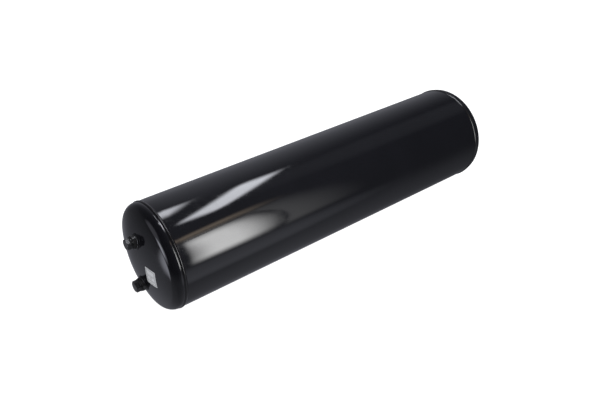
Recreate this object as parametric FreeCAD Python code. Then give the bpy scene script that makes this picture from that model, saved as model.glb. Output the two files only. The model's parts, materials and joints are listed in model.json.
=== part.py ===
import FreeCAD, Part
import math
import os

os.makedirs("parts", exist_ok=True)

# ---------------------------------------------------------------------------
# A horizontal steel pressure tank: a rolled shell with a pressed, dished head
# welded on each end. Each head carries two threaded bosses, closed by plugs.
# Millimetres. X runs from the labelled (front) head to the rear head, Z is up.
# The tank lies on its two round weld beads, whose lowest line is at Z = 0.
# ---------------------------------------------------------------------------

# Shell and heads
TANK_DIA = 276.0            # outside diameter of the rolled shell
HEAD_TO_HEAD = 1107.5       # overall length between the two crowns
WALL = 3.0                  # sheet thickness of shell and heads
KNUCKLE_RATIO = 0.096       # outside radius of the bend of a head, over the diameter
CROWN_RATIO = 1.25          # outside radius of the dished crown, over the diameter

# Weld beads
WELD_LAND = 1.0             # square edge left at the root of each bevelled joint
BEVEL_DEG = 30.0            # bevel of each joint edge
GIRTH_BEAD_WIDTH = 9.0      # round seam where a head meets the shell
GIRTH_BEAD_RISE = 2.0       # how far that bead stands above the shell
BEAD_TO_BEND = 0.5          # straight skirt left between bead and bend
SEAM_BEAD_WIDTH = 7.0       # straight seam that closes the rolled shell
SEAM_BEAD_RISE = 1.2
SEAM_DEG = -20.0            # where that seam lies: below the axis, on the rear side
FILLET_LEG = 3.5            # leg of the ring weld round each boss
FILLET_LIP = 0.5            # what is left of the ring weld at its top edge

# Threaded bosses
PORT_SPREAD = 120.0         # distance between the two bosses of one head
PORT_LINE_DEG = 5.0         # lean of the line through both bosses, about the axis
BOSS_DIA = 34.0
BOSS_RISE = 10.0            # height of the boss face above the crown
BOSS_REACH = 8.0            # how far a boss reaches into the tank below the sheet
BOSS_EDGE = 1.0             # chamfer on the rim of a boss
THREAD_DIA = 22.0           # M22 x 1.5
MOUTH_EDGE = 0.75           # chamfer at the mouth of the thread

# Seal rings and plugs
SEAL_THICK = 1.5
SEAL_CLEAR = 0.5            # bore of the seal ring outside the thread, on the radius
SEAL_WIDTH = 3.0            # width of the ring itself, on the radius
SHANK_CLEAR = 0.15          # plug shank in the boss thread, on the radius
SHANK_LENGTH = 14.0         # below the collar
SHANK_EDGE = 1.5            # chamfer at the tip of the shank
COLLAR_REACH = 5.0          # collar under the hexagon, beyond the thread radius
COLLAR_RIM = 1.2            # height of the collar at its rim
COLLAR_THICK = 3.5          # height of the collar where it meets the flats
HEX_FLATS = 26.0
HEX_HEIGHT = 10.0           # above the collar
HEX_CHAMFER_DEG = 30.0      # slope of the chamfer round the outer face
HEX_FACE_RATIO = 0.94       # round face inside that chamfer, over the flats
UPPER_TURN = 30.0           # where each plug happened to stop turning
LOWER_TURN = 8.0

# Label on the front head
LABEL_WIDTH = 36.0
LABEL_HEIGHT = 46.5
LABEL_THICK = 0.4
LABEL_CORNER = 2.0
LABEL_Y = -55.0             # label centre, to the side of the axis
LABEL_DROP = 9.5            # label centre, below the axis

# Sizes that follow from the ones above
TANK_R = TANK_DIA / 2
BORE_R = TANK_R - WALL
ROOT_R = BORE_R + WELD_LAND
BEAD_R = TANK_R + GIRTH_BEAD_RISE
BEVEL = (WALL - WELD_LAND) * math.tan(math.radians(BEVEL_DEG))
KNUCKLE_R = KNUCKLE_RATIO * TANK_DIA
CROWN_R = CROWN_RATIO * TANK_DIA
CROWN_BACK = math.sqrt((CROWN_R - KNUCKLE_R) ** 2 - (TANK_R - KNUCKLE_R) ** 2)
TANGENT_X = HEAD_TO_HEAD / 2 - (CROWN_R - CROWN_BACK)
CROWN_X = TANGENT_X - CROWN_BACK
BEND_DEG = math.degrees(math.atan2(TANK_R - KNUCKLE_R, CROWN_BACK))
WELD_X = TANGENT_X - GIRTH_BEAD_WIDTH / 2 - BEAD_TO_BEND
SEAM_HALF = WELD_X - GIRTH_BEAD_WIDTH / 2   # half the straight seam, bead to bead
PORT_Z = PORT_SPREAD / 2
PORT_DEG = math.degrees(math.asin(PORT_Z / CROWN_R))
BOSS_R = BOSS_DIA / 2
BOSS_FACE_X = CROWN_X + CROWN_R * math.cos(math.radians(PORT_DEG)) + BOSS_RISE
BOSS_LENGTH = BOSS_RISE + WALL + BOSS_REACH
THREAD_R = THREAD_DIA / 2
SEAL_IN_R = THREAD_R + SEAL_CLEAR
SEAL_OUT_R = SEAL_IN_R + SEAL_WIDTH
COLLAR_X = BOSS_FACE_X + SEAL_THICK
COLLAR_R = THREAD_R + COLLAR_REACH
RIM_X = COLLAR_X + COLLAR_RIM
HEX_X = COLLAR_X + COLLAR_THICK
PLUG_END_X = HEX_X + HEX_HEIGHT

AXIS = FreeCAD.Vector(1, 0, 0)
CENTRE = FreeCAD.Vector(0, 0, 0)
SAME_LENGTH = 0.001         # two lengths this close are the same


def point(x, radius):
    """A point of a profile, at a radius off the tank's axis."""
    return FreeCAD.Vector(x, 0, radius)


def on_circle(x, radius, size, degrees):
    """A point on a circle of a profile, counted from the tank's axis."""
    angle = math.radians(degrees)
    return point(x + size * math.cos(angle), radius + size * math.sin(angle))


def line(start, end):
    return Part.LineSegment(start, end).toShape()


def arc(start, middle, end):
    return Part.Arc(start, middle, end).toShape()


def turned(edges, base=CENTRE, axis=AXIS):
    """The solid that a closed outline sweeps in one full turn."""
    face = Part.Face(Part.Wire(edges))
    return face.revolve(base, axis, 360)


def outline(points):
    """Straight edges that join the points and close on the first."""
    ends = points[1:] + points[:1]
    return [line(start, end) for start, end in zip(points, ends)]


def make_head():
    """A dished head: short skirt, bend and crown, with one bevelled edge."""
    bend_mid = (BEND_DEG + 90) / 2
    bend_z = TANK_R - KNUCKLE_R
    root = point(WELD_X, BORE_R)
    land = point(WELD_X, ROOT_R)
    rim = point(WELD_X + BEVEL, TANK_R)
    skirt_out = point(TANGENT_X, TANK_R)
    skirt_in = point(TANGENT_X, BORE_R)
    bend_in = KNUCKLE_R - WALL
    crown_in = CROWN_R - WALL
    join_out = on_circle(CROWN_X, 0, CROWN_R, BEND_DEG)
    join_in = on_circle(CROWN_X, 0, crown_in, BEND_DEG)
    tip_out = point(CROWN_X + CROWN_R, 0)
    tip_in = point(CROWN_X + crown_in, 0)
    edges = [
        line(root, land),
        line(land, rim),
        line(rim, skirt_out),
        arc(skirt_out, on_circle(TANGENT_X, bend_z, KNUCKLE_R, bend_mid), join_out),
        arc(join_out, on_circle(CROWN_X, 0, CROWN_R, BEND_DEG / 2), tip_out),
        line(tip_out, tip_in),
        arc(tip_in, on_circle(CROWN_X, 0, crown_in, BEND_DEG / 2), join_in),
        arc(join_in, on_circle(TANGENT_X, bend_z, bend_in, bend_mid), skirt_in),
        line(skirt_in, root),
    ]
    head = turned(edges)
    for side in (1, -1):
        head = head.cut(boss_blank(side))
    return head


def boss_blank(side):
    """The full round bar of a boss; side is 1 for the upper one, -1 for the lower."""
    base = point(BOSS_FACE_X - BOSS_LENGTH, side * PORT_Z)
    return Part.makeCylinder(BOSS_R, BOSS_LENGTH, base, AXIS)


def make_boss(side):
    """A turned boss, threaded right through, with chamfered rim and mouth."""
    back = BOSS_FACE_X - BOSS_LENGTH
    profile = [
        (back, THREAD_R),
        (back, BOSS_R),
        (BOSS_FACE_X - BOSS_EDGE, BOSS_R),
        (BOSS_FACE_X, BOSS_R - BOSS_EDGE),
        (BOSS_FACE_X, THREAD_R + MOUTH_EDGE),
        (BOSS_FACE_X - MOUTH_EDGE, THREAD_R),
    ]
    return lifted_profile(profile, side)


def lifted_profile(profile, side):
    """A turned piece on the axis of one port."""
    points = [point(x, radius) for x, radius in profile]
    piece = turned(outline(points))
    piece.translate(point(0, side * PORT_Z))
    return piece


def make_boss_weld(side):
    """The ring weld in the corner between a boss and the crown."""
    slope = math.radians(PORT_DEG)
    normal = FreeCAD.Vector(math.cos(slope), 0, side * math.sin(slope))
    below = FILLET_LEG / 2
    crown_point = point(CROWN_X, 0) + normal * CROWN_R
    grow = (FILLET_LEG - FILLET_LIP) / FILLET_LEG
    low_r = BOSS_R + FILLET_LEG + below * grow
    top_r = BOSS_R + FILLET_LIP
    ring = Part.makeCone(low_r, top_r, FILLET_LEG + below, crown_point - normal * below, normal)
    crown = Part.makeSphere(CROWN_R, point(CROWN_X, 0))
    return ring.cut(crown).cut(boss_blank(side))


def make_seal(side):
    """The flat seal ring squeezed between boss and plug."""
    profile = [
        (BOSS_FACE_X, SEAL_IN_R),
        (BOSS_FACE_X, SEAL_OUT_R),
        (COLLAR_X, SEAL_OUT_R),
        (COLLAR_X, SEAL_IN_R),
    ]
    return lifted_profile(profile, side)


def make_plug(side, turn):
    """A hexagon plug: shank, collar with a sloped face, and chamfered hexagon."""
    shank_r = THREAD_R - SHANK_CLEAR
    tip_x = COLLAR_X - SHANK_LENGTH
    profile = [
        (tip_x, 0),
        (tip_x, shank_r - SHANK_EDGE),
        (tip_x + SHANK_EDGE, shank_r),
        (COLLAR_X, shank_r),
        (COLLAR_X, COLLAR_R),
        (RIM_X, COLLAR_R),
        (HEX_X, HEX_FLATS / 2),
        (HEX_X, 0),
    ]
    stem = lifted_profile(profile, side)
    return stem.fuse(make_hexagon(side, turn)).removeSplitter()


def make_hexagon(side, turn):
    """The hexagon of a plug: it rises out of the collar, with its corners chamfered."""
    corner_r = HEX_FLATS / math.sqrt(3)
    corners = []
    for index in range(6):
        angle = math.radians(turn + 60 * index)
        y = corner_r * math.cos(angle)
        z = side * PORT_Z + corner_r * math.sin(angle)
        corners.append(FreeCAD.Vector(RIM_X, y, z))
    height = PLUG_END_X - RIM_X
    prism = Part.Face(Part.Wire(outline(corners))).extrude(AXIS * height)
    face_r = HEX_FACE_RATIO * HEX_FLATS / 2
    fall = (corner_r - face_r) * math.tan(math.radians(HEX_CHAMFER_DEG))
    profile = [
        (RIM_X, 0),
        (RIM_X, corner_r),
        (PLUG_END_X - fall, corner_r),
        (PLUG_END_X, face_r),
        (PLUG_END_X, 0),
    ]
    return prism.common(lifted_profile(profile, side))


def make_girth_weld():
    """The round butt weld that fills the bevelled joint and stands proud of it."""
    half = GIRTH_BEAD_WIDTH / 2
    root = point(WELD_X, ROOT_R)
    left_groove = point(WELD_X - BEVEL, TANK_R)
    right_groove = point(WELD_X + BEVEL, TANK_R)
    left_toe = point(WELD_X - half, TANK_R)
    right_toe = point(WELD_X + half, TANK_R)
    edges = [
        line(root, left_groove),
        line(left_groove, left_toe),
        arc(left_toe, point(WELD_X, BEAD_R), right_toe),
        line(right_toe, right_groove),
        line(right_groove, root),
    ]
    return turned(edges)


def seam_prism(edges):
    """A bar along the shell from an outline drawn at its top, moved to the seam."""
    face = Part.Face(Part.Wire(edges))
    prism = face.extrude(AXIS * 2 * SEAM_HALF)
    prism.rotate(CENTRE, AXIS, SEAM_DEG - 90)
    return prism


def seam_point(side, height):
    """A point of the seam's outline, drawn with the seam at the top."""
    return FreeCAD.Vector(-SEAM_HALF, side, height)


def seam_groove():
    """The bevelled groove along the shell, taken a little past its surface."""
    wide = BEVEL * (WALL - WELD_LAND + SEAM_BEAD_RISE) / (WALL - WELD_LAND)
    top = TANK_R + SEAM_BEAD_RISE
    corners = [seam_point(0, ROOT_R), seam_point(-wide, top), seam_point(wide, top)]
    return seam_prism(outline(corners))


def make_shell():
    """The rolled sheet: a tube with bevelled ends and one lengthwise groove."""
    profile = [
        point(-WELD_X, BORE_R),
        point(-WELD_X, ROOT_R),
        point(-WELD_X + BEVEL, TANK_R),
        point(WELD_X - BEVEL, TANK_R),
        point(WELD_X, ROOT_R),
        point(WELD_X, BORE_R),
    ]
    return turned(outline(profile)).cut(seam_groove())


def make_seam_weld(shell):
    """The lengthwise weld: the filled groove and the low bead over it."""
    half = SEAM_BEAD_WIDTH / 2
    toe = math.sqrt(TANK_R ** 2 - half ** 2)
    left = seam_point(-half, toe)
    right = seam_point(half, toe)
    root = seam_point(0, ROOT_R)
    edges = [
        line(root, left),
        arc(left, seam_point(0, TANK_R + SEAM_BEAD_RISE), right),
        line(right, root),
    ]
    return seam_prism(edges).cut(shell)


def make_label():
    """A thin sheet label that follows the crown of the front head."""
    middle = point(-CROWN_X, 0)
    depth = CROWN_R
    corner = FreeCAD.Vector(
        -CROWN_X - CROWN_R - WALL, LABEL_Y - LABEL_WIDTH / 2, -LABEL_DROP - LABEL_HEIGHT / 2
    )
    block = Part.makeBox(depth, LABEL_WIDTH, LABEL_HEIGHT, corner)
    long_edges = [edge for edge in block.Edges if abs(edge.Length - depth) < SAME_LENGTH]
    block = block.makeFillet(LABEL_CORNER, long_edges)
    skin = Part.makeSphere(CROWN_R + LABEL_THICK, middle).cut(Part.makeSphere(CROWN_R, middle))
    return block.common(skin)


def to_front(shape):
    """The same piece on the front head: half a turn about the upright axis."""
    copy = shape.copy()
    copy.rotate(CENTRE, FreeCAD.Vector(0, 0, 1), 180)
    return copy


def save(shape, name):
    """Lift a piece so that the tank lies on Z = 0, and write it out."""
    solid = shape.copy()
    if solid.ShapeType != "Solid" and len(solid.Solids) == 1:
        solid = solid.Solids[0]
    solid.translate(point(0, BEAD_R))
    assert solid.isValid() and len(solid.Solids) == 1, name
    solid.exportStep("parts/" + name + ".step")


def save_pair(shape, name):
    """Lean a piece of the rear head to its place, then write it and its front twin."""
    leaned = shape.copy()
    leaned.rotate(CENTRE, AXIS, PORT_LINE_DEG)
    save(leaned, "rear_" + name)
    save(to_front(leaned), "front_" + name)


shell = make_shell()
save(shell, "shell")
save(make_seam_weld(shell), "shell_seam_weld")
save_pair(make_head(), "head")
save_pair(make_girth_weld(), "girth_weld")
for port, side, turn in (("upper", 1, UPPER_TURN), ("lower", -1, LOWER_TURN)):
    save_pair(make_boss(side), port + "_boss")
    save_pair(make_boss_weld(side), port + "_boss_weld")
    save_pair(make_seal(side), port + "_seal_ring")
    save_pair(make_plug(side, turn), port + "_plug")
save(make_label(), "label")
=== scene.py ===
# %% [markdown]
# # A horizontal pressure tank
#
# The tank is a rolled steel shell with a pressed, dished head welded on each end. Two
# threaded bosses with hexagon plugs sit on each head, and a small blank label is stuck on
# the front one. Everything is painted gloss black, so most of what is seen is what the
# paint mirrors. Smooth surfaces and well placed lights matter more here than colour.
#
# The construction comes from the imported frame, in metres. This script gives each piece a
# finer mesh and its finish, and it never moves or resizes anything.

# %% Load the frame
import json
import math

import bmesh
import bpy
import numpy as np
from mathutils import Matrix, Vector


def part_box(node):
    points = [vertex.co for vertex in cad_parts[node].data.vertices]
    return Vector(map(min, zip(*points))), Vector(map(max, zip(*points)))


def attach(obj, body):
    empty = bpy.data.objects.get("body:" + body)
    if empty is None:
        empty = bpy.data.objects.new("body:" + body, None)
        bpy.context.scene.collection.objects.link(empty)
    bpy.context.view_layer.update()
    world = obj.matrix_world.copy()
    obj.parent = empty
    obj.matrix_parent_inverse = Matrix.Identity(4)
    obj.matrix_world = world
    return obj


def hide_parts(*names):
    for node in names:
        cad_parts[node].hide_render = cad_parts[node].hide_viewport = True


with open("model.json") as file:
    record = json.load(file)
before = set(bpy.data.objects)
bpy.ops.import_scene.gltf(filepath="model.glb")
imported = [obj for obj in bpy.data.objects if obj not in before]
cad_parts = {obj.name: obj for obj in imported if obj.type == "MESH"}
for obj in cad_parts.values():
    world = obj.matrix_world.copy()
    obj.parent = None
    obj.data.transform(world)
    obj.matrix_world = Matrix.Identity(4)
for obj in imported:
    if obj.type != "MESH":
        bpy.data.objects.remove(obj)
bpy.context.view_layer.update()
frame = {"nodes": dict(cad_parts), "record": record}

print("pieces in the frame:", len(frame["nodes"]))

# %% [markdown]
# ## Sizes
#
# The shell's radius is stated by the band seats in the record. Lengths are read from the
# boxes of the nodes. The bend and the crown of a head follow the usual rule for pressed
# heads: each radius is a fixed share of the tank's diameter.

# %% Read the sizes
MM = 0.001
seat = frame["record"]["mounts"][0]
TANK_R = seat["dims"]["r_mm"] * MM
AXIS_Z = seat["pos_m"][2]
WALL = 3.0 * MM
KNUCKLE_R = 0.096 * 2 * TANK_R
CROWN_R = 1.25 * 2 * TANK_R
WELD_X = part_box("shell")[1].x
TIP_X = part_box("rear_head")[1].x

CROWN_BACK = math.sqrt((CROWN_R - KNUCKLE_R) ** 2 - (TANK_R - KNUCKLE_R) ** 2)
TANGENT_X = TIP_X - (CROWN_R - CROWN_BACK)
CROWN_X = TANGENT_X - CROWN_BACK
BEND = math.atan2(TANK_R - KNUCKLE_R, CROWN_BACK)
ENDS = {"front": -1, "rear": 1}
PORTS = [(end_name, port_name) for end_name in ENDS for port_name in ("upper", "lower")]
print(f"radius {TANK_R:.4f} m, weld at {WELD_X:.4f} m, head tip at {TIP_X:.4f} m")

# %% [markdown]
# ## Small helpers for node trees
#
# A node tree is easier to read when one line makes a node, sets it and plugs it in. A
# socket given as a value gets a constant, and one given as an output gets a link.


# %% Node helpers
def add(tree, kind, settings=None, sockets=None):
    """One node, with its settings, constants and links."""
    node = tree.nodes.new(kind)
    for name, value in (settings or {}).items():
        setattr(node, name, value)
    for key, value in (sockets or {}).items():
        if isinstance(value, bpy.types.NodeSocket):
            tree.links.new(value, node.inputs[key])
        else:
            node.inputs[key].default_value = value
    return node


def calc(tree, operation, *values):
    """A math node. It works in shader trees and in geometry trees."""
    return add(tree, "ShaderNodeMath", {"operation": operation}, dict(enumerate(values))).outputs[0]


def blend_range(tree, value, low, high, to_low, to_high):
    """A value moved smoothly from one range to another."""
    sockets = {"Value": value, "From Min": low, "From Max": high, "To Min": to_low, "To Max": to_high}
    node = add(tree, "ShaderNodeMapRange", {"interpolation_type": "SMOOTHSTEP"}, sockets)
    return node.outputs["Result"]


def new_tree(name, inputs):
    """A geometry tree with named inputs. Returns the tree and its input node."""
    tree = bpy.data.node_groups.new(name, "GeometryNodeTree")
    tree.interface.new_socket("Geometry", in_out="INPUT", socket_type="NodeSocketGeometry")
    tree.interface.new_socket("Geometry", in_out="OUTPUT", socket_type="NodeSocketGeometry")
    for label, kind in inputs:
        tree.interface.new_socket(label, in_out="INPUT", socket_type="NodeSocket" + kind)
    return tree, tree.nodes.new("NodeGroupInput")


def end_tree(tree, geometry, finish):
    """Every tree ends in real geometry with its material set."""
    real = add(tree, "GeometryNodeRealizeInstances", None, {"Geometry": geometry})
    painted = add(tree, "GeometryNodeSetMaterial", None, {"Geometry": real.outputs[0], "Material": finish})
    add(tree, "NodeGroupOutput", None, {"Geometry": painted.outputs[0]})
    print("tree", tree.name, "has", len(tree.nodes), "nodes")
    return tree


# %% [markdown]
# ## From a mesh to a finished piece
#
# Each finished piece is a plain mesh whose object sits at the origin. Its faces have to
# point outwards, because a mirrored profile turns a shape inside out, so normals are
# worked out again once the mesh is closed. Edges sharper than a limit stay crisp.

# %% Piece helpers
CRISP = math.radians(38)
made = []


def mesh_from(name, points, faces):
    """A mesh from points and faces, with its normals pointing outwards."""
    mesh = bpy.data.meshes.new(name)
    mesh.from_pydata([tuple(p) for p in points], [], faces)
    return tidy_mesh(mesh)


def tidy_mesh(mesh):
    """Normals outwards, smooth faces, and crisp edges where the shape has them."""
    work = bmesh.new()
    work.from_mesh(mesh)
    bmesh.ops.recalc_face_normals(work, faces=work.faces)
    work.to_mesh(mesh)
    work.free()
    mesh.shade_smooth()
    mesh.set_sharp_from_angle(angle=CRISP)
    return mesh


def run_tree(mesh, tree, values):
    """Runs a geometry tree on a mesh and gives back the result as a plain mesh."""
    carrier = bpy.data.objects.new("carrier", mesh)
    bpy.context.scene.collection.objects.link(carrier)
    modifier = carrier.modifiers.new("tree", "NODES")
    modifier.node_group = tree
    sockets = {s.name: s.identifier for s in tree.interface.items_tree if s.in_out == "INPUT"}
    for name, value in values.items():
        modifier[sockets[name]] = value
    shown = carrier.evaluated_get(bpy.context.evaluated_depsgraph_get())
    result = bpy.data.meshes.new_from_object(shown)
    bpy.data.objects.remove(carrier)
    bpy.data.meshes.remove(mesh)
    return tidy_mesh(result)


def keep(name, mesh, node, finish=None):
    """Makes the piece, lets it ride on the tank and stand for its CAD node."""
    mesh.name = name
    if finish is not None:
        mesh.materials.clear()
        mesh.materials.append(finish)
    piece = bpy.data.objects.new(name, mesh)
    bpy.context.scene.collection.objects.link(piece)
    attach(piece, "root")
    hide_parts(node)
    made.append(name)
    print(f"{name}: {len(mesh.polygons)} faces")
    return piece


# %% [markdown]
# ## Gloss black paint
#
# Sprayed enamel is nearly black and mirrors about four percent of what is in front of it.
# Three things keep it from looking like plastic: a fine ripple called orange peel, a
# gloss that varies a little from place to place, and a few dust specks caught in the
# film. Patterns read Object coordinates, which are metres here, so a scale of 500 means
# about 2 mm from one ripple to the next. Constants go on the shader's own sockets.
#
# The middle of a head is given a paler, duller tone, which a distance from the axis can steer. Bosses and
# welds are harder to reach, so their paint is rougher than the sheet's.


# %% Paint
def new_material(name):
    """An empty material, its tree and its Principled shader."""
    material = bpy.data.materials.new(name)
    material.use_nodes = True
    tree = material.node_tree
    tree.nodes.clear()
    shader = tree.nodes.new("ShaderNodeBsdfPrincipled")
    add(tree, "ShaderNodeOutputMaterial", None, {"Surface": shader.outputs["BSDF"]})
    return material, tree, shader


def noise(tree, place, scale, detail=2.0, rough=0.5):
    """Noise on a position, as a number from 0 to 1."""
    sockets = {"Vector": place, "Scale": scale, "Detail": detail, "Roughness": rough}
    return add(tree, "ShaderNodeTexNoise", None, sockets).outputs["Fac"]


def two_tone(tree, factor, dark, light):
    """A colour between two, chosen by a number."""
    mix = add(tree, "ShaderNodeMix", {"data_type": "RGBA"}, {"Factor": factor})
    mix.inputs[6].default_value = (*dark, 1)
    mix.inputs[7].default_value = (*light, 1)
    return mix.outputs[2]


def bump(tree, height, distance, below=None):
    """Small relief, in metres, on top of another bump if one is given."""
    sockets = {"Height": height, "Distance": distance, "Strength": 1.0}
    if below is not None:
        sockets["Normal"] = below
    return add(tree, "ShaderNodeBump", None, sockets).outputs["Normal"]


PALE_MIDDLE_COLOUR = (0.020, 0.0205, 0.027, 1)
PALE_MIDDLE_MATT = 0.18


def pale_middle(tree, place, cloud, paleness):
    """How pale and dull the paint is made: full at the middle of a head, and 0 from near its bend."""
    split = add(tree, "ShaderNodeSeparateXYZ", None, {"Vector": place}).outputs
    above = calc(tree, "SUBTRACT", split[2], AXIS_Z)
    squares = calc(tree, "MULTIPLY", split[1], split[1])
    squares = calc(tree, "ADD", squares, calc(tree, "MULTIPLY", above, above))
    edge = calc(tree, "ADD", calc(tree, "SQRT", squares), calc(tree, "MULTIPLY", cloud, 0.02))
    return blend_range(tree, edge, 0.10, 0.135, paleness, 0.0)


def enamel(name, gloss, peel, tones, paleness=0.0):
    """Sprayed enamel. gloss is its roughness range, peel the depth of its ripple, tones its darkest and
    lightest colour, and paleness how far the middle of a head turns paler and duller."""
    material, tree, shader = new_material(name)
    place = add(tree, "ShaderNodeTexCoord").outputs["Object"]
    cloud = noise(tree, place, 9, 3)
    film = noise(tree, place, 60, 4, 0.6)
    specks = noise(tree, place, 900, 1)
    dust = blend_range(tree, specks, 0.74, 0.80, 0.0, 1.0)
    tone = calc(tree, "MAXIMUM", cloud, dust)
    colour = two_tone(tree, tone, *tones)
    matt = blend_range(tree, film, 0.3, 0.7, gloss[0], gloss[1])
    if paleness:
        middle = pale_middle(tree, place, cloud, paleness)
        mix = add(tree, "ShaderNodeMix", {"data_type": "RGBA"}, {"Factor": middle})
        tree.links.new(colour, mix.inputs[6])
        mix.inputs[7].default_value = PALE_MIDDLE_COLOUR
        colour = mix.outputs[2]
        matt = calc(tree, "ADD", matt, calc(tree, "MULTIPLY", middle, PALE_MIDDLE_MATT))
    tree.links.new(colour, shader.inputs["Base Color"])
    tree.links.new(calc(tree, "ADD", matt, calc(tree, "MULTIPLY", dust, 0.15)), shader.inputs["Roughness"])
    ripple = bump(tree, noise(tree, place, 480, 1.5), peel)
    tree.links.new(bump(tree, dust, 8e-6, ripple), shader.inputs["Normal"])
    shader.inputs["IOR"].default_value = 1.5
    print("finish", name, "has", len(tree.nodes), "nodes")
    return material


SHEET_TONES = ((0.0022, 0.0023, 0.0032), (0.0045, 0.0046, 0.0064))
WELD_TONES = ((0.003, 0.003, 0.0035), (0.006, 0.006, 0.007))
# Boss tones are several times paler than the sheet's: a painted highlight, standing in for the light seen on
# the sides of the bosses.
BOSS_TONES_WITH_PAINTED_HIGHLIGHT = ((0.010, 0.010, 0.011), (0.020, 0.0195, 0.020))
SHEET_PAINT = enamel("black_enamel_on_sheet", (0.05, 0.09), 5e-6, SHEET_TONES)
HEAD_PAINT = enamel("black_enamel_on_heads", (0.06, 0.11), 5e-6, SHEET_TONES, 0.18)
WELD_PAINT = enamel("black_enamel_on_welds", (0.08, 0.16), 9e-6, WELD_TONES)
BOSS_PAINT = enamel("black_enamel_on_bosses_with_painted_highlight", (0.14, 0.28), 6e-6, BOSS_TONES_WITH_PAINTED_HIGHLIGHT)

# %% [markdown]
# ## A tree that turns a profile
#
# Shell, heads, bosses and seal rings are all turned shapes: one profile carried once
# round an axis. Blender's Spin tool or a Screw modifier could do it. A geometry tree is
# used here because it can also give the sheet the faint waves that rolling and pressing
# leave, which is what bends the mirrored light on a real tank.
#
# The ring lies flat and the profile's x counts outwards from it, so the ring's radius is
# taken off first. Points that meet on the axis are merged, which closes the poles.

# %% Turning tree
QUARTER = math.pi / 2
turning, given = new_tree(
    "turn a profile",
    [("Ring Radius", "Float"), ("Around", "Int"), ("Centre", "Vector"), ("Wave Height", "Float"),
     ("Wave Length", "Float"), ("Seed", "Float"), ("Merge Gap", "Float"), ("Finish", "Material")],
)
g = given.outputs
profile_curve = add(turning, "GeometryNodeMeshToCurve", None, {"Mesh": g["Geometry"]})
ring = add(
    turning, "GeometryNodeCurvePrimitiveCircle", {"mode": "RADIUS"},
    {"Resolution": g["Around"], "Radius": g["Ring Radius"]},
)
swept = add(
    turning, "GeometryNodeCurveToMesh", None,
    {"Curve": ring.outputs["Curve"], "Profile Curve": profile_curve.outputs["Curve"]},
)
laid = add(
    turning, "GeometryNodeTransform", None,
    {"Geometry": swept.outputs["Mesh"], "Rotation": (0, QUARTER, 0)},
)
closed = add(
    turning, "GeometryNodeMergeByDistance", None,
    {"Geometry": laid.outputs["Geometry"], "Distance": g["Merge Gap"]},
)
where = add(turning, "GeometryNodeInputPosition")
wave = add(
    turning, "ShaderNodeTexNoise", {"noise_dimensions": "4D"},
    {"Vector": where.outputs[0], "W": g["Seed"], "Scale": calc(turning, "DIVIDE", 1.0, g["Wave Length"]),
     "Detail": 1.0},
)
lift = calc(turning, "MULTIPLY", calc(turning, "SUBTRACT", wave.outputs["Fac"], 0.5), 2.0)
lift = calc(turning, "MULTIPLY", lift, g["Wave Height"])
outwards = add(
    turning, "ShaderNodeVectorMath", {"operation": "SCALE"},
    {"Vector": add(turning, "GeometryNodeInputNormal").outputs[0], "Scale": lift},
)
waved = add(
    turning, "GeometryNodeSetPosition", None,
    {"Geometry": closed.outputs[0], "Offset": outwards.outputs[0]},
)
placed = add(
    turning, "GeometryNodeTransform", None,
    {"Geometry": waved.outputs[0], "Translation": g["Centre"]},
)
end_tree(turning, placed.outputs[0], g["Finish"])

# %% [markdown]
# ## Profiles
#
# A profile is a list of points, each its place along the tank and its distance from the
# axis. Arcs are worked out from a centre, a radius and two angles.


# %% Profile helpers
def arc(x, r, size, start, stop, count):
    """Points on an arc about (x, r), counted from the direction of the axis."""
    angles = np.linspace(start, stop, count)
    return [(x + size * math.cos(a), r + size * math.sin(a)) for a in angles]


def straight(start, stop, count):
    """Points on a straight line, both ends included."""
    return [tuple(p) for p in np.linspace(start, stop, count)]


def turn(name, node, profile, end, finish, centre=(0, AXIS_Z), around=256, wave=0.0,
         wave_length=0.16, seed=1.0, loop=True):
    """A turned piece from its profile. end is 1 at the rear and -1 at the front."""
    mesh = bpy.data.meshes.new("profile")
    points = [(r - TANK_R, -end * x, 0) for x, r in profile]
    edges = [(i, i + 1) for i in range(len(points) - 1)]
    if loop:
        edges.append((len(points) - 1, 0))
    mesh.from_pydata(points, edges, [])
    values = {
        "Ring Radius": TANK_R, "Around": around, "Centre": (0, *centre), "Wave Height": wave,
        "Wave Length": wave_length, "Seed": seed, "Merge Gap": 1e-6, "Finish": finish,
    }
    return keep(name, run_tree(mesh, turning, values), node)


# %% [markdown]
# ## The rolled shell
#
# The shell is 3 mm sheet, rolled and welded shut. Welding shrinks the metal beside a
# seam, so the sheet is drawn in by a fraction of a millimetre next to each head. It can
# hardly be seen as a shape, but it bends the light streaks there.

# %% Shell
DRAW_IN = 0.45 * MM
DRAW_LENGTH = 17 * MM
SHEET_WAVE = 0.05 * MM


def drawn(x):
    """Outside radius of the sheet at a place along the tank, drawn in at the welds."""
    away = (WELD_X - abs(x)) / DRAW_LENGTH
    return TANK_R - DRAW_IN * math.exp(-away * away)


stops = np.concatenate([
    np.linspace(-WELD_X, -WELD_X + 4 * DRAW_LENGTH, 30),
    np.linspace(-WELD_X + 4 * DRAW_LENGTH, WELD_X - 4 * DRAW_LENGTH, 70)[1:-1],
    np.linspace(WELD_X - 4 * DRAW_LENGTH, WELD_X, 30),
])
BORE_R = TANK_R - WALL
shell_profile = [(x, drawn(x)) for x in stops] + straight((WELD_X, BORE_R), (-WELD_X, BORE_R), 12)
turn("rolled_shell", "shell", shell_profile, 1, SHEET_PAINT, wave=SHEET_WAVE, seed=3.0)

# %% [markdown]
# ## The dished heads
#
# A head is pressed from one disc: a wide crown, a tight bend called the knuckle, and a
# short straight skirt. The profile runs from the tip outwards, round the edge and back
# along the inside, so the head is a closed wall of real thickness.


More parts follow.
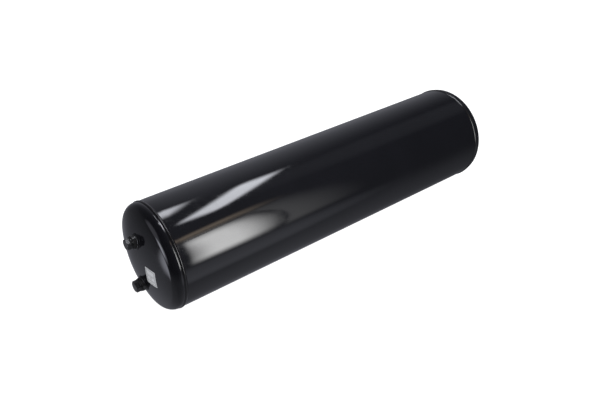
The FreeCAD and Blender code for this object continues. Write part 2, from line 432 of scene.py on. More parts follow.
# %% Heads
def head_profile():
    """Half a section through a head, from its outer tip to its inner tip."""
    skirt = [(x, drawn(x)) for x in np.linspace(TANGENT_X, WELD_X, 6)]
    bend_r = TANK_R - KNUCKLE_R
    outer = arc(CROWN_X, 0, CROWN_R, 0, BEND, 44)
    outer += arc(TANGENT_X, bend_r, KNUCKLE_R, BEND, QUARTER, 26)[1:-1]
    inner = arc(TANGENT_X, bend_r, KNUCKLE_R - WALL, QUARTER, BEND, 10)
    inner += arc(CROWN_X, 0, CROWN_R - WALL, BEND, 0, 20)[1:]
    return outer + skirt + [(WELD_X, BORE_R)] + inner


for end_name, end in ENDS.items():
    turn(
        end_name + "_dished_head", end_name + "_head", head_profile(), end, HEAD_PAINT,
        wave=SHEET_WAVE, wave_length=0.11, seed=7.0 + end, loop=False,
    )

# %% [markdown]
# ## Weld beads
#
# A bead is laid as a row of small pools, each freezing over the edge of the last, so it
# is covered in crescent ripples. The plain bead is a swept section made here with two
# values on every point: how far along the bead it is, and how far across. A geometry
# tree reads both and raises the ripples, and slow noise makes the bead wander.

# %% Ripple tree
ripples, given = new_tree(
    "weld ripples",
    [("Pitch", "Float"), ("Bow", "Float"), ("Ripple Height", "Float"), ("Wander", "Float"),
     ("Wander Length", "Float"), ("Seed", "Float"), ("Finish", "Material")],
)
g = given.outputs


def stored(name):
    """A number kept on every point of the bead."""
    return add(ripples, "GeometryNodeInputNamedAttribute", {"data_type": "FLOAT"}, {"Name": name}).outputs[0]


def ripple_noise(length):
    """Noise from 0 to 1 that changes over a given length."""
    sockets = {"Vector": add(ripples, "GeometryNodeInputPosition").outputs[0], "W": g["Seed"],
               "Scale": calc(ripples, "DIVIDE", 1.0, length), "Detail": 2.0}
    return add(ripples, "ShaderNodeTexNoise", {"noise_dimensions": "4D"}, sockets).outputs["Fac"]


across = stored("across")
curve_back = calc(ripples, "MULTIPLY", calc(ripples, "MULTIPLY", across, across), g["Bow"])
two_pitches = calc(ripples, "MULTIPLY", g["Pitch"], 2.0)
uneven = calc(ripples, "MULTIPLY", ripple_noise(g["Wander Length"]), two_pitches)
along = calc(ripples, "ADD", calc(ripples, "ADD", stored("along"), uneven), curve_back)
phase = calc(ripples, "MULTIPLY", calc(ripples, "DIVIDE", along, g["Pitch"]), math.pi)
scallop = calc(ripples, "ABSOLUTE", calc(ripples, "SINE", phase))
raised = calc(ripples, "MULTIPLY", calc(ripples, "SUBTRACT", scallop, 1.0), g["Ripple Height"])
wander = calc(ripples, "SUBTRACT", ripple_noise(g["Wander Length"]), 0.75)
raised = calc(ripples, "ADD", raised, calc(ripples, "MULTIPLY", wander, g["Wander"]))
raised = calc(ripples, "MULTIPLY", raised, stored("crest"))
push = add(
    ripples, "ShaderNodeVectorMath", {"operation": "SCALE"},
    {"Vector": add(ripples, "GeometryNodeInputNormal").outputs[0], "Scale": raised},
)
moved = add(
    ripples, "GeometryNodeSetPosition", None,
    {"Geometry": g["Geometry"], "Offset": push.outputs[0]},
)
end_tree(ripples, moved.outputs[0], g["Finish"])

# %% [markdown]
# The plain bead is a grid: one row of points for each step along the path, each row a
# closed section with a rounded top and an underside sunk into the sheet. A ring joins
# its last row to its first, and a straight bead is closed by a face at each end.

# %% Plain bead
TOP_POINTS = 13
STEP = 0.55 * MM


def bead_section():
    """Section across a bead: place across from -1 to 1, and height from 0 to 1 or None."""
    places = [math.cos(a) for a in np.linspace(math.pi, 0, TOP_POINTS)]
    top = [(x, 1 - x * x) for x in places]
    under = [(0.7, None), (0.0, None), (-0.7, None)]
    return top + under


def bead_mesh(path, length, ring):
    """path(s, across, height) gives a point. height None is the sunk underside."""
    steps = int(length / STEP)
    section = bead_section()
    size = len(section)
    points, alongs, acrosses, crests = [], [], [], []
    for i in range(steps):
        s = length * i / (steps if ring else steps - 1)
        for x, h in section:
            points.append(path(s, x, h))
            alongs.append(s)
            acrosses.append(x)
            crests.append(0.0 if h is None else h)
    faces = []
    for i in range(steps if ring else steps - 1):
        j = (i + 1) % steps
        for k in range(size):
            n = (k + 1) % size
            faces.append((i * size + k, i * size + n, j * size + n, j * size + k))
    if not ring:
        faces.append(tuple(range(size)))
        faces.append(tuple(range((steps - 1) * size, steps * size)))
    mesh = mesh_from("bead", points, faces)
    for name, values in (("along", alongs), ("across", acrosses), ("crest", crests)):
        mesh.attributes.new(name, "FLOAT", "POINT").data.foreach_set("value", values)
    return mesh


def lay_bead(name, node, path, length, ring, pitch, height, seed):
    """A finished weld bead along a path."""
    values = {
        "Pitch": pitch, "Bow": 1.6 * pitch, "Ripple Height": height, "Wander": 0.5 * MM,
        "Wander Length": 30 * MM, "Seed": seed, "Finish": WELD_PAINT,
    }
    return keep(name, run_tree(bead_mesh(path, length, ring), ripples, values), node)


# %% [markdown]
# ### Round and straight seams
#
# The two round beads join the heads, and the tank rests on them. The straight bead
# closes the shell on the rear side, below the axis. Each is kept a hair inside the size
# of its CAD node, so that the ripples never stand out of it.

# %% Seams
girth_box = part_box("rear_girth_weld")
GIRTH_HALF = (girth_box[1].x - girth_box[0].x) / 2
RIPPLE_ROOM = 0.15 * MM
GIRTH_RISE = girth_box[1].z - AXIS_Z - TANK_R - RIPPLE_ROOM
SUNK = 0.6 * MM
SEAM_ANGLE = math.radians(-20)
SEAM_HALF = 3.5 * MM
SEAM_RISE = 1.1 * MM


def girth_path(end):
    """The round bead at one end."""
    def path(s, across, height):
        angle = s / TANK_R
        x = end * WELD_X + across * GIRTH_HALF
        radius = TANK_R - DRAW_IN - SUNK
        if height is not None:
            radius = drawn(WELD_X) + (GIRTH_RISE + DRAW_IN) * height
        return (x, radius * math.cos(angle), AXIS_Z + radius * math.sin(angle))
    return path


def seam_path(s, across, height):
    """The straight bead along the shell."""
    angle = SEAM_ANGLE + across * SEAM_HALF / TANK_R
    x = s - WELD_X + GIRTH_HALF
    radius = drawn(x) + SEAM_RISE * height if height is not None else drawn(x) - SUNK
    return (x, radius * math.cos(angle), AXIS_Z + radius * math.sin(angle))


for end_name, end in ENDS.items():
    lay_bead(
        end_name + "_round_bead", end_name + "_girth_weld", girth_path(end), 2 * math.pi * TANK_R, True,
        pitch=2.6 * MM, height=0.28 * MM, seed=11.0 + end,
    )
lay_bead(
    "straight_bead", "shell_seam_weld", seam_path, 2 * (WELD_X - GIRTH_HALF), False,
    pitch=2.2 * MM, height=0.2 * MM, seed=17.0,
)

# %% [markdown]
# ### Ring welds round the bosses
#
# Here the bead runs round a boss and lies on the domed crown, so its path dips and rises
# as it goes. The rule is short: go round the boss, and look up how far the crown lies
# back at that distance from the tank's axis.

# %% Boss welds
boss_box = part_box("rear_upper_boss")
BOSS_R = (boss_box[1].y - boss_box[0].y) / 2
BOSS_FACE = boss_box[1].x
BOSS_BACK = boss_box[0].x
LEG = 3.5 * MM
LEG_BULGE = 0.22 * LEG


def port_centre(end_name, port_name):
    """Where a boss sits: beside the tank's axis, and above the floor."""
    low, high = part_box(f"{end_name}_{port_name}_boss")
    return ((low.y + high.y) / 2, (low.z + high.z) / 2)


def crown(y, z):
    """How far from the middle the crown lies, at a place beside and above the axis."""
    return CROWN_X + math.sqrt(CROWN_R ** 2 - y * y - z * z)


def fillet_path(end, centre):
    """The ring weld round one boss, from the boss wall down to the crown."""
    def path(s, across, height):
        angle = s / (BOSS_R + LEG / 2)
        share = (1 + across) / 2
        out = BOSS_R + LEG * share
        up = LEG * (1 - share)
        if height is None:
            out = BOSS_R - SUNK + (LEG - SUNK) * share
            up = (LEG - 2 * SUNK) * (1 - share) - SUNK
        else:
            out += LEG_BULGE * height
            up += LEG_BULGE * height
        y = centre[0] + out * math.cos(angle)
        z = centre[1] + out * math.sin(angle)
        return (end * (crown(y, z - AXIS_Z) + up), y, z)
    return path


for number, (end_name, port_name) in enumerate(PORTS):
    label = f"{end_name}_{port_name}"
    lay_bead(
        label + "_ring_weld", label + "_boss_weld",
        fillet_path(ENDS[end_name], port_centre(end_name, port_name)),
        2 * math.pi * (BOSS_R + LEG / 2), True, pitch=1.9 * MM, height=0.3 * MM, seed=23.0 + number,
    )

# %% [markdown]
# ## Bosses and seal rings
#
# A boss is turned from round bar and bored right through. Its corners are broken on the
# lathe and softened again by the paint, and a small rounding on every corner is what
# catches a thin line of light. The seal ring is squeezed, so its rim bulges a little.

# %% Boss and seal profiles
THREAD_R = 11.0 * MM
seal_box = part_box("rear_upper_seal_ring")
SEAL_THICK = seal_box[1].x - BOSS_FACE
SEAL_R = (seal_box[1].y - seal_box[0].y) / 2
SEAL_BORE = THREAD_R + 0.5 * MM
SEAL_BULGE = 0.5 * MM
COLLAR_X = BOSS_FACE + SEAL_THICK


def softened(corners, radius, count=4):
    """A closed profile with every corner rounded by a small arc."""
    rounded = []
    for i, here in enumerate(corners):
        here = Vector(here)
        back = Vector(corners[i - 1]) - here
        ahead = Vector(corners[(i + 1) % len(corners)]) - here
        reach = min(radius, 0.4 * back.length, 0.4 * ahead.length)
        start = here + back.normalized() * reach
        stop = here + ahead.normalized() * reach
        for t in np.linspace(0, 1, count + 1):
            rounded.append(tuple(start * (1 - t) ** 2 + here * 2 * t * (1 - t) + stop * t * t))
    return rounded


boss_corners = [
    (BOSS_BACK, THREAD_R), (BOSS_BACK, BOSS_R), (BOSS_FACE - 1.0 * MM, BOSS_R),
    (BOSS_FACE, BOSS_R - 1.0 * MM), (BOSS_FACE, THREAD_R + 0.75 * MM), (BOSS_FACE - 0.75 * MM, THREAD_R),
]
boss_profile = softened(boss_corners, 0.5 * MM)
bulge = [(BOSS_FACE + SEAL_THICK * (0.5 - 0.5 * math.cos(a)), SEAL_R - SEAL_BULGE * (1 - math.sin(a)))
         for a in np.linspace(0, math.pi, 9)]
seal_profile = [(BOSS_FACE, SEAL_BORE)] + bulge + [(COLLAR_X, SEAL_BORE)]
print(f"boss {2 * BOSS_R / MM:.1f} mm wide, seal {SEAL_THICK / MM:.1f} mm thick")

# %% [markdown]
# Rubber is matt and a shade lighter than the paint beside it, with dust in its pores.

# %% Rubber
SEAL_RUBBER, tree, shader = new_material("seal_rubber")
place = add(tree, "ShaderNodeTexCoord").outputs["Object"]
pores = noise(tree, place, 1400, 3, 0.6)
dusty = noise(tree, place, 120, 3)
rubber_tone = two_tone(tree, dusty, (0.012, 0.012, 0.012), (0.030, 0.029, 0.028))
tree.links.new(rubber_tone, shader.inputs["Base Color"])
tree.links.new(blend_range(tree, pores, 0.3, 0.7, 0.5, 0.75), shader.inputs["Roughness"])
tree.links.new(bump(tree, pores, 20e-6), shader.inputs["Normal"])

for end_name, port_name in PORTS:
    label, end = f"{end_name}_{port_name}", ENDS[end_name]
    centre = port_centre(end_name, port_name)
    turn(label + "_turned_boss", label + "_boss", boss_profile, end, BOSS_PAINT, centre, 144)
    turn(label + "_rubber_ring", label + "_seal_ring", seal_profile, end, SEAL_RUBBER,
         centre, 96)

# %% [markdown]
# ## Hexagon plugs
#
# A plug is turned from hexagon bar: shank, round collar, hexagon, and a shallow cone over
# the corners of its outer face. A mesh of rings can follow that exactly. Every ring has
# the same number of points, and on the hexagon each point's distance from the axis comes
# from a rule for its angle. The cone's edge then falls where it does on a real plug: high
# in the middle of each flat and low at each corner.

# %% Plug shape
AROUND = 144
ON_AXIS = 1.0 * MM
SLOPE_ROOM = 2.0 * MM
CREASE_BACK, CREASE_OUT, CREASE_FRONT = 0.12 * MM, 0.16 * MM, 0.2 * MM
CORNER_ROUND = 0.8 * MM
CONE_SLOPE = math.tan(math.radians(30))
PORT_Y, PORT_Z = port_centre("rear", "upper")
LEAN = math.degrees(math.atan2(-PORT_Y, PORT_Z - AXIS_Z))
TURNED = {"upper": 30 + LEAN, "lower": 8 + LEAN}
plug_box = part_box("rear_upper_plug")
PLUG_BACK, PLUG_END = plug_box[0].x, plug_box[1].x
FLATS = 26.0 * MM
RIM_X = COLLAR_X + 1.2 * MM
HEX_X = COLLAR_X + 3.5 * MM
FACE_R = 0.94 * FLATS / 2
COLLAR_R = THREAD_R + 5.0 * MM
SHANK_R = THREAD_R - 0.15 * MM


def hexagon_radius(angle):
    """Distance from the axis to a hexagon with slightly rounded corners."""
    off = abs((angle % (math.pi / 3)) - math.pi / 6)
    off_corner = math.pi / 6 - off
    flat = FLATS / 2 / math.cos(off)
    centre = (FLATS / 2 - CORNER_ROUND) / math.cos(math.pi / 6)
    inside = CORNER_ROUND ** 2 - (centre * math.sin(off_corner)) ** 2
    if inside <= 0:
        return flat
    return min(flat, centre * math.cos(off_corner) + math.sqrt(inside))


def plug_rings():
    """Rings of a plug as rules: each gives a place along and a radius for an angle.

    The stem keeps no point on the axis, where the end fans close it, and none on the slope
    or beyond, where the hexagon's own rings take over.
    """
    stem = softened(
        [(PLUG_BACK, 0), (PLUG_BACK, SHANK_R - 1.5 * MM), (PLUG_BACK + 1.5 * MM, SHANK_R),
         (COLLAR_X, SHANK_R), (COLLAR_X, COLLAR_R), (RIM_X, COLLAR_R), (HEX_X, FLATS / 2),
         (HEX_X, 0)], 0.4 * MM, 3,
    )
    behind_collar = COLLAR_X + 0.1 * MM
    stem = [(x, r) for x, r in stem if r > ON_AXIS and (r > FLATS / 2 + SLOPE_ROOM or x < behind_collar)]
    rings = [lambda a, x=x, r=r: (x, r) for x, r in stem]

    def slope_end(a, off):
        share = (COLLAR_R - hexagon_radius(a)) / (COLLAR_R - FLATS / 2)
        return RIM_X + share * (HEX_X - RIM_X) + off

    rings.append(lambda a: (slope_end(a, -CREASE_BACK), hexagon_radius(a) + CREASE_OUT))
    rings.append(lambda a: (slope_end(a, CREASE_FRONT), hexagon_radius(a)))

    def side(share):
        return lambda a: (slope_end(a, 0) + share * (cone_start(a) - slope_end(a, 0)), hexagon_radius(a))

    def cone_start(a):
        return PLUG_END - (hexagon_radius(a) - FACE_R) * CONE_SLOPE

    def cone(share):
        def rule(a):
            radius = hexagon_radius(a) + share * (FACE_R - hexagon_radius(a))
            return (PLUG_END - (radius - FACE_R) * CONE_SLOPE, radius)
        return rule

    rings += [side(s) for s in (0.3, 0.6, 0.9, 0.97)]
    rings += [cone(s) for s in (0.08, 0.5, 0.9)]
    rings += [lambda a, r=r: (PLUG_END, r) for r in (FACE_R - 0.3 * MM, 0.7 * FACE_R, 0.35 * FACE_R)]
    return rings


# %% [markdown]
# The rings are joined by bands of faces and closed at both ends by a fan. A value on
# every point says how near it is to an outer corner, and the finish uses it to wear the
# paint thin there, as a spanner does.

# %% Plug mesh
def plug_mesh(end, centre, turned):
    """One plug as a closed mesh, with the wear of its corners on its points."""
    rings = plug_rings()
    angles = [2 * math.pi * i / AROUND for i in range(AROUND)]
    corner_r = hexagon_radius(0)
    worn_width = 1.2 * MM
    on_hexagon = RIM_X + 1 * MM
    points, worn = [], []

    def put(x, radius, angle, wear):
        spun = angle + math.radians(turned)
        y, z = radius * math.cos(spun), radius * math.sin(spun)
        points.append((end * x, centre[0] + end * y, centre[1] + z))
        worn.append(wear)

    put(PLUG_BACK, 0, 0, 0)
    for ring in rings:
        for angle in angles:
            x, radius = ring(angle)
            near = 1 - min(1, (corner_r - radius) / worn_width)
            put(x, radius, angle, near if x > on_hexagon else 0)
    put(PLUG_END, 0, 0, 0)
    last = len(points) - 1
    faces = [(0, 1 + (i + 1) % AROUND, 1 + i) for i in range(AROUND)]
    for row in range(len(rings) - 1):
        a, b = 1 + row * AROUND, 1 + (row + 1) * AROUND
        faces += [(a + i, a + (i + 1) % AROUND, b + (i + 1) % AROUND, b + i) for i in range(AROUND)]
    faces += [(last, last - AROUND + i, last - AROUND + (i + 1) % AROUND) for i in range(AROUND)]
    mesh = mesh_from("plug", points, faces)
    mesh.attributes.new("worn", "FLOAT", "POINT").data.foreach_set("value", worn)
    return mesh


# %% Plug finish and pieces
PLUG_BLACK, tree, shader = new_material("plug_black")
place = add(tree, "ShaderNodeTexCoord").outputs["Object"]
grain = noise(tree, place, 700, 4, 0.6)
patch = noise(tree, place, 70, 3)
corner = add(tree, "ShaderNodeAttribute", {"attribute_name": "worn"}).outputs["Fac"]
rough_corner = calc(tree, "ADD", corner, calc(tree, "MULTIPLY", grain, 0.5))
rubbed = blend_range(tree, rough_corner, 1.05, 1.35, 0.0, 0.7)
coat = two_tone(tree, patch, (0.0040, 0.0040, 0.0046), (0.0090, 0.0090, 0.0100))
mix = add(tree, "ShaderNodeMix", {"data_type": "RGBA"}, {"Factor": rubbed})
tree.links.new(coat, mix.inputs[6])
mix.inputs[7].default_value = (0.09, 0.085, 0.08, 1)
tree.links.new(mix.outputs[2], shader.inputs["Base Color"])
tree.links.new(blend_range(tree, grain, 0.3, 0.7, 0.13, 0.22), shader.inputs["Roughness"])
tree.links.new(bump(tree, grain, 12e-6), shader.inputs["Normal"])
for end_name, port_name in PORTS:
    label = f"{end_name}_{port_name}"
    mesh = plug_mesh(ENDS[end_name], port_centre(end_name, port_name), TURNED[port_name])
    keep(label + "_hexagon_plug", mesh, label + "_plug", PLUG_BLACK)

# %% [markdown]
# ## The label
#
# The label is thin film stuck on the domed head, so it bends two ways at once. It is
# drawn flat as a rectangle with round corners, filled with smaller copies of its own
# outline, and every point is then laid on the crown. Its edge is a hair lower than its
# face, as on die-cut film. It is left blank except for ruled boxes.

# %% Label mesh
label_low, label_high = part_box("label")
LABEL_MID = (label_low + label_high) / 2
TRIM = 0.1 * MM
LABEL_HALF = ((label_high.y - label_low.y) / 2 - TRIM, (label_high.z - label_low.z) / 2 - TRIM)
LABEL_CORNER = 2.0 * MM
FILM = 0.22 * MM
GLUE = 0.02 * MM
FILLS = 24


def label_outline():
    """Points round a rectangle with round corners, about its middle."""
    loop = []
    for turn_no, (sy, sz) in enumerate([(1, 1), (-1, 1), (-1, -1), (1, -1)]):
        y, z = sy * (LABEL_HALF[0] - LABEL_CORNER), sz * (LABEL_HALF[1] - LABEL_CORNER)
        first = turn_no * QUARTER
        bend = [(y + LABEL_CORNER * math.cos(a), z + LABEL_CORNER * math.sin(a))
                for a in np.linspace(first, first + QUARTER, 7)]
        if loop:
            loop += straight(loop[-1], bend[0], 20)[1:-1]
        loop += bend
    return loop + straight(loop[-1], loop[0], 20)[1:-1]


def on_head(y, z, rise):
    """A place on the front head, raised off the sheet."""
    size = CROWN_R + rise
    return (-CROWN_X - math.sqrt(size ** 2 - y * y - (z - AXIS_Z) ** 2), y, z)


def label_mesh():
    """The label as a thin closed body that follows the head."""
    loop = label_outline()
    count = len(loop)
    rows = [(1.0, GLUE), (1.0, 0.8 * FILM)] + [(s, FILM) for s in np.linspace(0.985, 0.04, FILLS)]
    points = [on_head(LABEL_MID.y + s * y, LABEL_MID.z + s * z, rise)
              for s, rise in rows for y, z in loop]
    faces = []
    for row in range(len(rows) - 1):
        a, b = row * count, (row + 1) * count
        faces += [(a + i, a + (i + 1) % count, b + (i + 1) % count, b + i) for i in range(count)]
    points.append(on_head(LABEL_MID.y, LABEL_MID.z, FILM))
    points.append(on_head(LABEL_MID.y, LABEL_MID.z, GLUE))
    top, under = len(points) - 2, len(points) - 1
    inner = (len(rows) - 1) * count
    faces += [(inner + i, inner + (i + 1) % count, top) for i in range(count)]
    faces += [((i + 1) % count, i, under) for i in range(count)]
    return mesh_from("label", points, faces)


# %% [markdown]
# The boxes are ruled by the material, from places on the label in metres. A line is the
# region closer to its height than half its width. Print is never perfectly even, so slow
# noise fades it, and the film itself is a little mottled and dusty.

# %% Label finish
LABEL_FILM, tree, shader = new_material("label_film")
place = add(tree, "ShaderNodeTexCoord").outputs["Object"]
split = add(tree, "ShaderNodeSeparateXYZ", None, {"Vector": place}).outputs
RULE_WIDTH = 0.5 * MM
MARGIN = 2.5 * MM
INK = (0.10, 0.10, 0.10, 1)
BOXES = [(0, 0.012, 0.0135, 0.0065), (-0.0075, -0.004, 0.006, 0.006),
         (0.0075, -0.004, 0.006, 0.006), (0, -0.0155, 0.0135, 0.003)]


def near_line(value, at, half):
    """1 within half of a line, 0 beyond it, with a slightly soft edge."""
    away = calc(tree, "ABSOLUTE", calc(tree, "SUBTRACT", value, at))
    return blend_range(tree, away, half * 0.6, half * 1.4, 1.0, 0.0)


def ruled_box(y, z, half_y, half_z):
    """The outline of a box on the label, from its middle and half sizes: 0 to 1."""
    offs = []
    for value, middle, half in ((split[1], LABEL_MID.y + y, half_y), (split[2], LABEL_MID.z + z, half_z)):
        away = calc(tree, "ABSOLUTE", calc(tree, "SUBTRACT", value, middle))
        offs.append(calc(tree, "SUBTRACT", away, half))
    return near_line(calc(tree, "MAXIMUM", *offs), 0.0, RULE_WIDTH)


ink = ruled_box(0, 0, LABEL_HALF[0] - MARGIN, LABEL_HALF[1] - MARGIN)
for box in BOXES:
    ink = calc(tree, "MAXIMUM", ink, ruled_box(*box))
fade = blend_range(tree, noise(tree, place, 260, 3), 0.3, 0.7, 0.60, 1.0)
mottle = noise(tree, place, 170, 4, 0.6)
film_tone = two_tone(tree, mottle, (0.57, 0.585, 0.61), (0.69, 0.705, 0.73))
mix = add(tree, "ShaderNodeMix", {"data_type": "RGBA"}, {"Factor": calc(tree, "MULTIPLY", ink, fade)})
tree.links.new(film_tone, mix.inputs[6])
mix.inputs[7].default_value = INK
tree.links.new(mix.outputs[2], shader.inputs["Base Color"])
tree.links.new(blend_range(tree, mottle, 0.3, 0.7, 0.34, 0.48), shader.inputs["Roughness"])
tree.links.new(bump(tree, noise(tree, place, 900, 2), 6e-6), shader.inputs["Normal"])
keep("blank_label", label_mesh(), "label", LABEL_FILM)

# %% [markdown]
# ## The studio
#
# A gloss black object shows its surroundings more than itself, so the studio is laid out
# as for a product: strips overhead, a tall softbox in front, and dark cloth elsewhere.
# The floor is nearly white to the camera and hidden from reflections, because the real
# floor lies in the shade of the cloth as seen from the paint.

# %% Floor
floor_mesh = mesh_from("floor", [(-14, -14, 0), (14, -14, 0), (14, 14, 0), (-14, 14, 0)], [(0, 1, 2, 3)])
floor = bpy.data.objects.new("floor", floor_mesh)
bpy.context.scene.collection.objects.link(floor)
FLOOR_PAPER, tree, shader = new_material("floor_paper")
shader.inputs["Base Color"].default_value = (0.30, 0.30, 0.30, 1)
shader.inputs["Roughness"].default_value = 0.9
shader.inputs["Specular IOR Level"].default_value = 0.0
shader.inputs["Emission Color"].default_value = (1, 1, 1, 1)
shader.inputs["Emission Strength"].default_value = 0.97
floor_mesh.materials.append(FLOOR_PAPER)
floor.visible_glossy = False
floor.visible_diffuse = False

# %% [markdown]
# The world does three jobs. The camera sees white. Matt surfaces get an even fill. The
# paint mirrors a dim room, a little brighter behind the tank and towards the floor, with
# a few soft glows. The strongest ones stand for a lit wall beyond the front head. They
# make the pale band on that head, and seen low from the rear end they also whiten the
# top of the shell. Each glow is a round spot in one direction.

# %% World
world = bpy.data.worlds.new("studio")
bpy.context.scene.world = world
world.use_nodes = True
tree = world.node_tree
tree.nodes.clear()
rays = add(tree, "ShaderNodeLightPath")
sky = add(tree, "ShaderNodeTexCoord").outputs["Generated"]
look = add(tree, "ShaderNodeSeparateXYZ", None, {"Vector": sky}).outputs


def glow_spot(towards, inner, outer, strength):
    """A soft round glow in one direction. inner and outer are its half angles in degrees."""
    sockets = {0: sky, 1: Vector(towards).normalized()}
    facing = add(tree, "ShaderNodeVectorMath", {"operation": "DOT_PRODUCT"}, sockets)
    edge, full = math.cos(math.radians(outer)), math.cos(math.radians(inner))
    return blend_range(tree, facing.outputs["Value"], edge, full, 0.0, strength)


def times(*factors):
    """The product of several numbers."""
    result = factors[0]
    for factor in factors[1:]:
        result = calc(tree, "MULTIPLY", result, factor)
    return result


east, north, up = look
far_end = blend_range(tree, east, 0.42, 0.76, 1.0, 0.45)
room = times(blend_range(tree, east, -0.4, 0.4, 0.05, 0.17), far_end)
floor_glow = times(
    blend_range(tree, up, -0.15, -0.6, 0.0, 0.17),
    far_end,
    blend_range(tree, north, -0.5, 0.1, 1.0, 0.35),
)
back_glow = times(
    blend_range(tree, north, 0.2, 0.8, 0.0, 0.26),
    blend_range(tree, east, -0.1, 0.5, 0.15, 1.0),
    blend_range(tree, up, -0.45, 0.15, 0.25, 1.0),
)
glow = calc(tree, "ADD", room, calc(tree, "ADD", floor_glow, back_glow))
for spot in [
    ((-0.87, 0.24, -0.39), 3, 13, 2.6),     # lit wall beyond the front head, lower part
    ((-0.98, 0.13, 0.0), 4, 13, 3.0),       # its upper part
    ((-0.98, 0.0, 0.0), 5, 16, 2.2),      # and its near edge
    ((-0.90, 0.29, 0.32), 10, 24, 0.7),     # its glow above
    ((0.34, -0.84, -0.42), 6, 20, 0.42),    # bright floor in front of the near end
    ((0.66, -0.05, 0.75), 4, 18, 0.12),     # lighter ceiling over the far end
    ((-0.50, 0.78, -0.35), 20, 50, 0.07),   # grey wall behind the front head
    ((-0.60, 0.25, -0.76), 10, 45, 0.16),   # floor beyond the front head
]:
    glow = calc(tree, "ADD", glow, glow_spot(*spot))
WHITE = (1, 1, 1, 1)
ROOM_TINT = (0.91, 0.93, 1.05, 1)


def backdrop(colour, strength):
    """A plain background of one colour."""
    return add(tree, "ShaderNodeBackground", None, {"Color": colour, "Strength": strength}).outputs[0]


def choose(ray, otherwise, then):
    """One background for a kind of ray, and another for the rest."""
    sockets = {0: rays.outputs[ray], 1: otherwise, 2: then}
    return add(tree, "ShaderNodeMixShader", None, sockets).outputs[0]


unseen = choose("Is Glossy Ray", backdrop(WHITE, 0.8), backdrop(ROOM_TINT, glow))
final = choose("Is Camera Ray", unseen, backdrop(WHITE, 1.05))
add(tree, "ShaderNodeOutputWorld", None, {"Surface": final})
bpy.context.scene.view_settings.view_transform = "Standard"

# %% [markdown]
# ## Softboxes
#
# A softbox is an area light whose brightness falls off towards its rim. The light's own
# surface gives two numbers from 0 to 1, one along each side, and a smooth ramp on each
# makes the soft edge. Brightness is stated as radiance, which is what a mirror shows.
#
# Six are used. Two long strips overhead draw the slanted streaks, and a short one near the
# front end lights the tops of the plugs. In front stand a tall softbox, the faint spill
# beside it, and a warm card above it.

# %% Softboxes
def softbox(name, middle, facing, side, size, radiance, edge_a, edge_b, colour=(1, 1, 1)):
    """A soft area light. edge_a and edge_b are where its brightness starts and is full."""
    light = bpy.data.lights.new(name, "AREA")
    light.shape = "RECTANGLE"
    light.size, light.size_y = size
    light.energy = radiance * math.pi * size[0] * size[1]
    light.color = colour
    light.use_nodes = True
    tree = light.node_tree
    tree.nodes.clear()
    face = add(tree, "ShaderNodeNewGeometry").outputs["Parametric"]
    both = add(tree, "ShaderNodeSeparateXYZ", None, {"Vector": face})
    ramps = []
    for value, (start, full, fade, stop) in ((both.outputs[0], edge_a), (both.outputs[1], edge_b)):
        up = blend_range(tree, value, start, full, 0.0, 1.0)
        down = blend_range(tree, value, fade, stop, 1.0, 0.0)
        ramps.append(calc(tree, "MULTIPLY", up, down))
    shine = add(tree, "ShaderNodeEmission", None, {"Strength": calc(tree, "MULTIPLY", *ramps)})
    add(tree, "ShaderNodeOutputLight", None, {"Surface": shine.outputs[0]})
    lamp = bpy.data.objects.new(name, light)
    bpy.context.scene.collection.objects.link(lamp)
    back = -Vector(facing).normalized()
    across = Vector(side).normalized()
    turned = Matrix((across, back.cross(across), back)).transposed()
    lamp.matrix_world = Matrix.Translation(middle) @ turned.to_4x4()
    lamp.visible_camera = False
    return lamp


STRIP_Z = AXIS_Z + 1.5
FRONT_AWAY = 1.5
WARM = (1.0, 0.80, 0.60)
COOL = (0.96, 0.98, 1.05)
along_strip = Vector((0.447, 0.894, 0))
softbox("overhead_strip", (0.369, 0.039, STRIP_Z), (0, 0, -1), along_strip, (1.12, 0.36), 12.0,
        (0.0, 0.2, 0.73, 1.0), (0.0, 0.32, 0.68, 1.0), COOL)
softbox("second_strip", (0.0375, 0.532, STRIP_Z), (0, 0, -1), (0.35, 0.94, 0), (0.78, 0.30), 9.5,
        (0.0, 0.45, 0.62, 1.0), (0.0, 0.43, 0.7, 1.0), COOL)
softbox("end_strip", (-0.25, 0.05, STRIP_Z), (0, 0, -1), (1, 0, 0), (0.42, 0.24), 9.5,
        (0.0, 0.4, 0.6, 1.0), (0.0, 0.45, 0.55, 1.0), COOL)
front = Vector((0.4226, -0.9063, 0))
front_side = Vector((0.9063, 0.4226, 0))


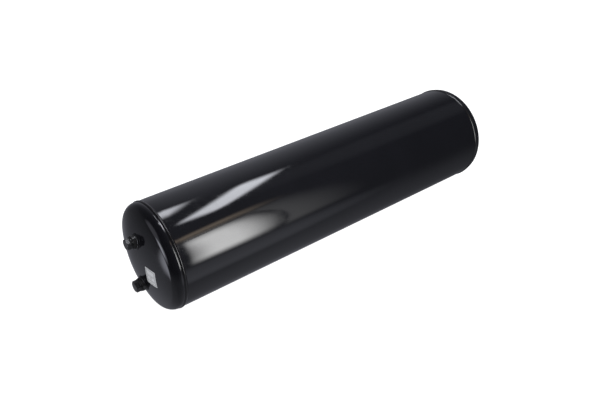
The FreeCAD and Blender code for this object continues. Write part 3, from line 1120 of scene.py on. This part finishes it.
def front_panel(name, left, right, low, high, radiance, edge_a, edge_b, lean=0.0, colour=(1, 1, 1)):
    """A softbox in an upright plane before the tank. lean turns its top to the right."""
    middle = front * FRONT_AWAY + front_side * (left + right) / 2
    middle.z = AXIS_Z + (low + high) / 2
    side = front_side * math.cos(lean) - Vector((0, 0, 1)) * math.sin(lean)
    softbox(name, middle, -front, side, (right - left, high - low), radiance, edge_a, edge_b, colour)


front_panel("front_softbox", -0.64, -0.08, -0.28, 1.62, 12.0,
            (0.0, 0.37, 0.5, 1.0), (0.0, 0.2, 0.62, 1.0), lean=math.radians(4))
front_panel("front_spill", -0.50, 0.30, -0.30, 1.70, 1.1,
            (0.0, 0.2, 0.38, 1.0), (0.0, 0.15, 0.75, 1.0))
front_panel("warm_card", -0.60, 0.30, 1.30, 2.05, 2.1,
            (0.0, 0.2, 0.5, 1.0), (0.0, 0.45, 0.55, 1.0), colour=WARM)
print("lights:", len(bpy.data.lights))

# %% [markdown]
# ## Camera
#
# The camera looks down at the tank from its front end. Its place is given by two angles
# and a distance from the middle of the tank's axis, and it is then shifted a little
# sideways and down without turning, so that the tank sits well in the frame.

# %% Camera
AZIMUTH, ELEVATION = math.radians(-38.207), math.radians(33.629)
DISTANCE = 1.8868
SHIFT_LEFT, SHIFT_DOWN = 0.0513, 0.0399
flat = math.cos(ELEVATION)
looking = Vector((flat * math.sin(-AZIMUTH), flat * math.cos(AZIMUTH), -math.sin(ELEVATION)))
right = looking.cross(Vector((0, 0, 1))).normalized()
above = right.cross(looking)
camera_data = bpy.data.cameras.new("camera")
camera_data.lens = 40.68
camera = bpy.data.objects.new("camera", camera_data)
bpy.context.scene.collection.objects.link(camera)
target = Vector((0, 0, AXIS_Z))
camera.location = target - looking * DISTANCE - right * SHIFT_LEFT - above * SHIFT_DOWN
camera.rotation_euler = looking.to_track_quat("-Z", "Y").to_euler()
bpy.context.scene.camera = camera
print("camera at", [round(v, 4) for v in camera.location])

# %% Count the pieces
print(len(made), "pieces made")
